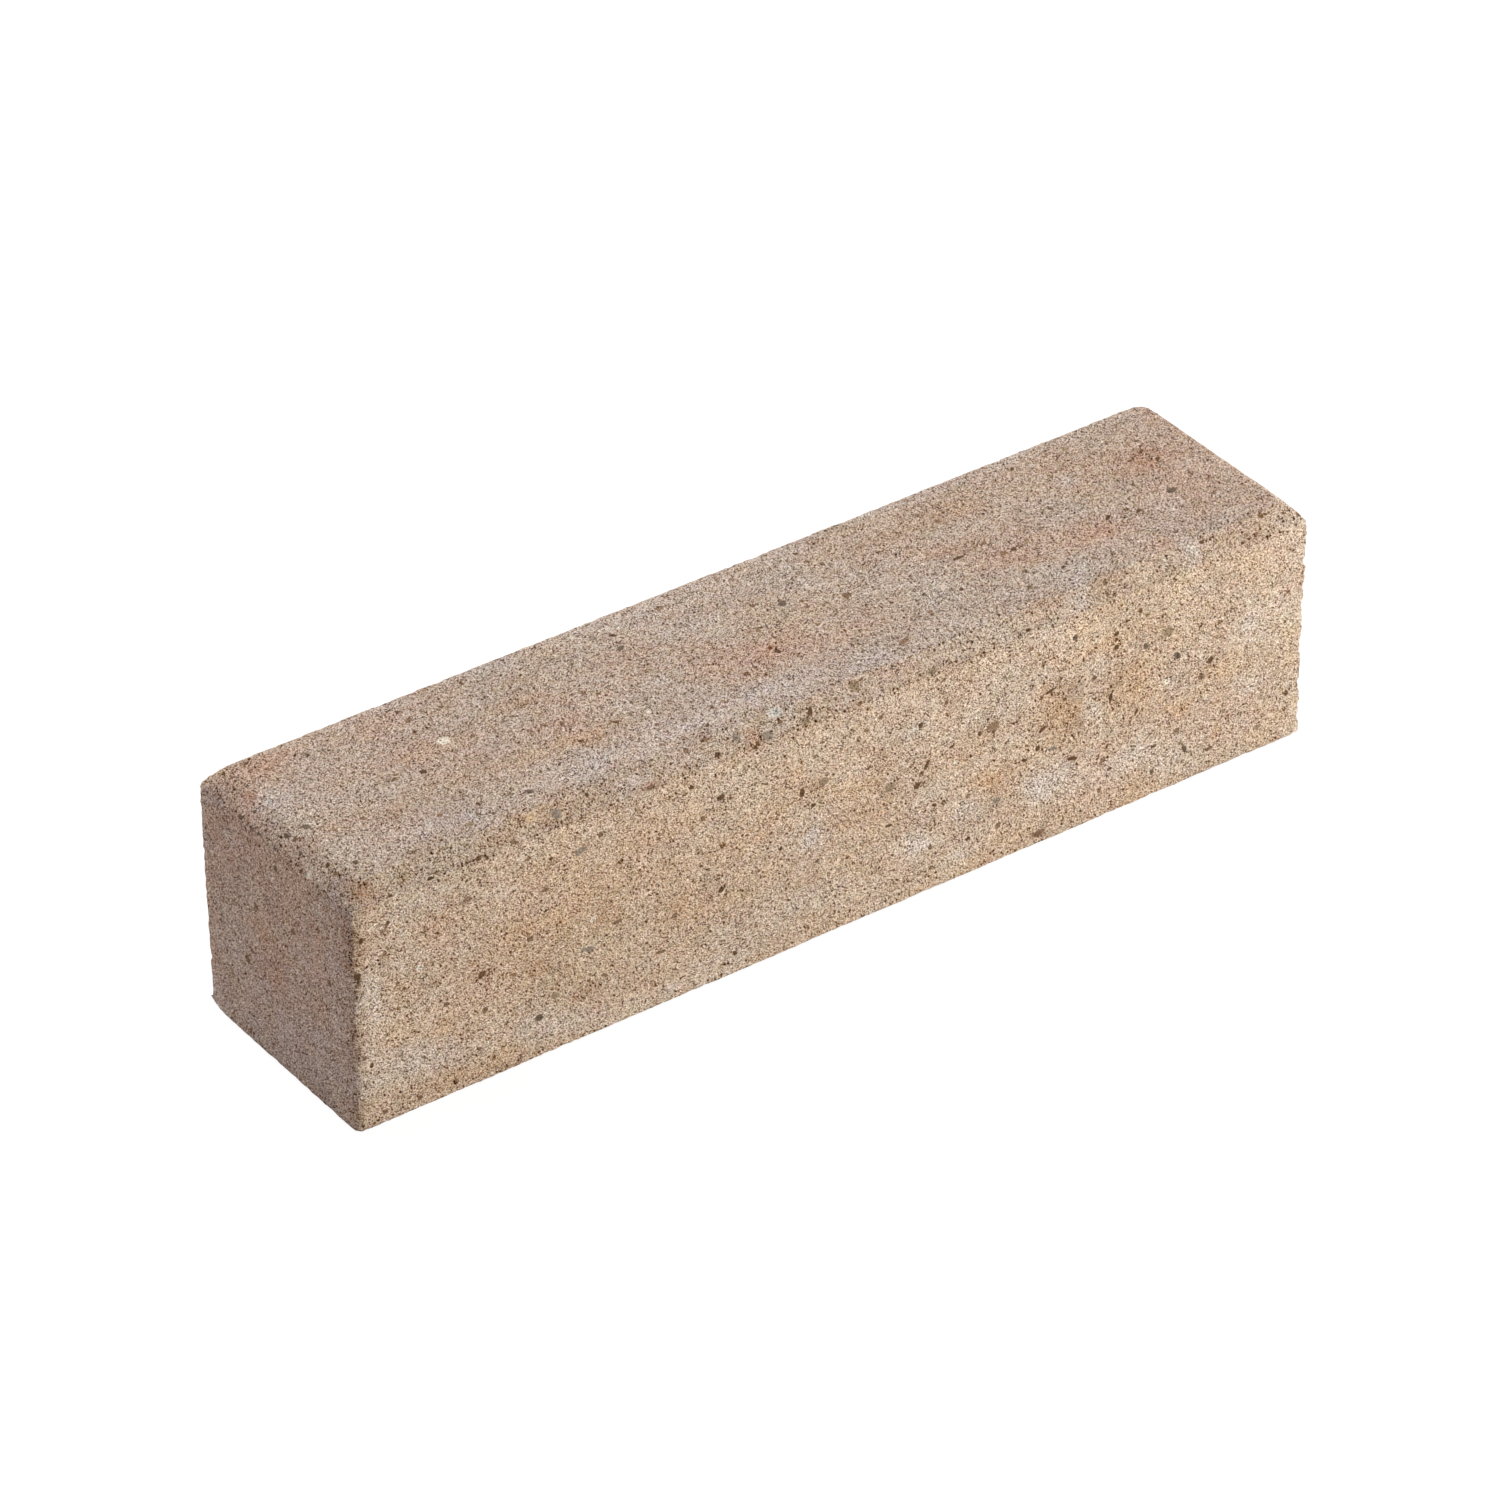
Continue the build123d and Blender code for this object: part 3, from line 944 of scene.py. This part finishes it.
sand_grains, pits_with_painted_shade = sand_grain_group(), pore_group()
print("groups", sand_grains.name, pits_with_painted_shade.name)

# %% [markdown]
# ## Layers of the sand
#
# A real grain stands out of the surface, so it looks as tall as it is wide where its face is seen at a
# slant, and a flat pattern would look squashed there. There are too many grains to model. So the pattern of
# grains, specks and dust is drawn out along one slanting direction of the block, to its front left and up.

# %% Lay the sand
COARSE_SAND, FINE_SAND = 0.9, 0.36
SPECK_SPACING, SPECK_RADIUS, SPECK_RARITY = 1.6, 0.58, 1.35
WORN_SPECKS = 0.16
PORE_SPACING, PORE_RADIUS, PORE_RARITY = 6.5, 1.7, 2.5
GRAIN_LEAN = (-0.483, -0.667, 0.567)
GRAIN_SQUEEZE = 0.45


def stored(tree, name, output):
    """One output of an Attribute node that reads an attribute of the piece."""
    return add_node(tree, "ShaderNodeAttribute", attribute_name=name).outputs[output]


def group_node(tree, group, point, **inputs):
    """Outputs of a node group at a point, with its other inputs."""
    return add_node(tree, "ShaderNodeGroup", {"Point": point, **inputs}, node_tree=group).outputs


def leaning_point(tree, point):
    """Point whose part along GRAIN_LEAN is multiplied by GRAIN_SQUEEZE, which draws a pattern out."""
    part = vector_node(tree, "DOT_PRODUCT", point, GRAIN_LEAN, output="Value")
    dropped = scaled_vector(tree, GRAIN_LEAN, math_node(tree, "MULTIPLY", part, 1 - GRAIN_SQUEEZE))
    return vector_node(tree, "SUBTRACT", point, dropped)


def sand_layers(tree, point):
    """Sockets of all layers, by name."""
    leaning = leaning_point(tree, point)
    radius = weighted_sum(tree, ((stored(tree, "wear", "Fac"), WORN_SPECKS),), SPECK_RADIUS)
    coarse = group_node(tree, sand_grains, leaning, Size=COARSE_SAND)
    fine = group_node(tree, sand_grains, leaning, Size=FINE_SAND)
    specks_with_painted_shade = group_node(tree, pits_with_painted_shade, leaning, Spacing=SPECK_SPACING, Radius=radius, Rarity=SPECK_RARITY)
    holes = group_node(tree, pits_with_painted_shade, point, Spacing=PORE_SPACING, Radius=PORE_RADIUS, Rarity=PORE_RARITY)
    return {"coarse": coarse["Tone"], "fine": fine["Tone"], "dome": coarse["Dome"],
            "specks_with_painted_shade": specks_with_painted_shade["Mask"], "pits_with_painted_shade": holes["Mask"],
            "dust": noise(tree, leaning, scale=2.1, detail=2.0, roughness=0.7)[0],
            "blotch": noise(tree, point, scale=0.3, detail=3.0, roughness=0.62)[0]}


print("grains of", COARSE_SAND, "and", FINE_SAND, "mm")

# %% [markdown]
# ## Colours of sand and stones
#
# Each grain darkens or lightens the tint by about the same step in red, green and blue, and the hue wanders
# from patch to patch. A stone has its own colour inside a crooked outline and takes on the sand's tone. All
# of that is done in screen numbers, where the same step looks equally strong on dark and on pale concrete.

# %% Colour the sand and the stones
# The negative weights of specks and pores are painted shade in the gaps between grains and in pits, with some
# dark sand in the specks.
TONES = {"coarse": 0.08, "fine": 0.92, "dust": 0.2, "specks_with_painted_shade": -0.47, "pits_with_painted_shade": -0.33, "blotch": 0.22}
TONE_SHIFT = -0.18
GRAIN_HUE = (0.88, 1.0, 1.1)
MOTTLE = (0.045, 0.022, 0.055)
MOTTLE_SCALE = 0.2
CROOK_SCALE = 0.8
CROOK = 0.9
STONE_OUTSIDE, STONE_INSIDE = 1.14, 0.9
STONE_GRAIN = 0.9


def sandy_colour(tree, point, tone):
    """Tint, plus a soft noise times MOTTLE, plus the tone times GRAIN_HUE."""
    mottle = vector_node(tree, "MULTIPLY", centred_noise(tree, point, MOTTLE_SCALE), MOTTLE)
    ground = vector_node(tree, "ADD", stored(tree, "tint", "Color"), mottle)
    return vector_node(tree, "ADD", ground, vector_node(tree, "MULTIPLY", tone, GRAIN_HUE))


def stone_mask(tree, point):
    """1 where the offset from the nearest stone is less than about one half size, give or take a noise."""
    away = vector_node(tree, "LENGTH", stored(tree, "stone_offset", "Vector"), output="Value")
    crook = noise(tree, point, CROOK_SCALE, 2.0)[0]
    edge = weighted_sum(tree, ((crook, CROOK),), math_node(tree, "SUBTRACT", away, CROOK / 2))
    inside = ramp(tree, edge, STONE_OUTSIDE, STONE_INSIDE)
    return math_node(tree, "MULTIPLY", inside, stored(tree, "stone_paint", "Alpha"))


def stone_colour(tree, tone):
    """The stone's own colour times one plus a share of the sand's tone."""
    shade = weighted_sum(tree, ((tone, STONE_GRAIN),), 1.0)
    return vector_node(tree, "MULTIPLY", stored(tree, "stone_paint", "Color"), shade)


print("tones", TONES)

# %% [markdown]
# ## The concrete
#
# One Gamma node turns the screen numbers into light. Domes of grains, specks, pores and stones also raise
# and lower a bump map, so that the skin takes the light like sand and not like print. Dry concrete has
# almost no shine: it is rough all over, and only stones are a little smoother.

# %% Mix the concrete
RISES = {"dome": 0.12, "specks_with_painted_shade": -0.15, "pits_with_painted_shade": -0.5, "blotch": 0.4}
BUMP_STRENGTH = 0.7
SCREEN_GAMMA = 2.2
ROUGHNESS = 0.93
STONE_POLISH, GRAIN_POLISH = -0.15, -0.08
SHINE = 0.2


def sand_concrete_material():
    """Principled shader with sand, specks, pores and stones in its base colour, roughness and bump."""
    material = bpy.data.materials.new("sand_concrete")
    material.use_nodes = True
    tree = material.node_tree
    shader = tree.nodes["Principled BSDF"]
    point = scaled_vector(tree, add_node(tree, "ShaderNodeTexCoord").outputs["Object"], 1 / MM)
    layers = sand_layers(tree, point)
    tone = weighted_sum(tree, ((layers[name], weight) for name, weight in TONES.items()), TONE_SHIFT)
    stone = stone_mask(tree, point)

    # A Mix node's sockets 6 and 7 are its two colours, and output 2 is the mixed one
    colours = {0: stone, 6: sandy_colour(tree, point, tone), 7: stone_colour(tree, tone)}
    shown = add_node(tree, "ShaderNodeMix", colours, data_type="RGBA").outputs[2]
    light = add_node(tree, "ShaderNodeGamma", {"Color": shown, "Gamma": SCREEN_GAMMA}).outputs[0]
    tree.links.new(light, shader.inputs["Base Color"])

    rise = weighted_sum(tree, ((layers[name], weight) for name, weight in RISES.items()))
    rise = math_node(tree, "MULTIPLY_ADD", stone, stored(tree, "stone_rise", "Fac"), rise)
    bump = add_node(tree, "ShaderNodeBump", {"Height": rise, "Distance": MM, "Strength": BUMP_STRENGTH})
    tree.links.new(bump.outputs[0], shader.inputs["Normal"])
    roughness = weighted_sum(tree, ((stone, STONE_POLISH), (layers["coarse"], GRAIN_POLISH)), ROUGHNESS)
    tree.links.new(roughness, shader.inputs["Roughness"])
    shader.inputs["Specular IOR Level"].default_value = SHINE
    return material


post.data.materials.append(sand_concrete_material())
print("material on", post.name)
